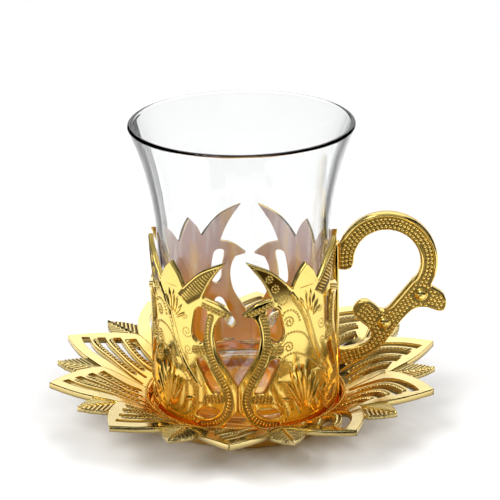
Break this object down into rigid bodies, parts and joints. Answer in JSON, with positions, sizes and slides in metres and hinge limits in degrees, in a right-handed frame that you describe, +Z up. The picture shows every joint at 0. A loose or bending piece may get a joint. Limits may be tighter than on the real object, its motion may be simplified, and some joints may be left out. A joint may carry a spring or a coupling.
{
  "type": "tea glass in a holder on a saucer",
  "caption": "Clear flared tea glass in a pierced golden metal holder with a beaded scroll handle, standing on a petal-shaped openwork saucer.",
  "frame": {"origin": "centre of the saucer's flat foot, on the axis of the glass, at the height of the table", "axes": "+Z up along the glass's axis, +X towards the handle, +Y to the back when the handle is on the right"},
  "size_m": [0.1164, 0.1184, 0.0904],
  "materials": {
    "gold_plate": "gold plated and polished casting",
    "clear_glass": "clear, smooth, polished"
  },
  "bodies": {
    "root": {"saucer": "gold_plate", "holder": "gold_plate", "handle": "gold_plate", "glass": "clear_glass"}
  },
  "joints": []
}
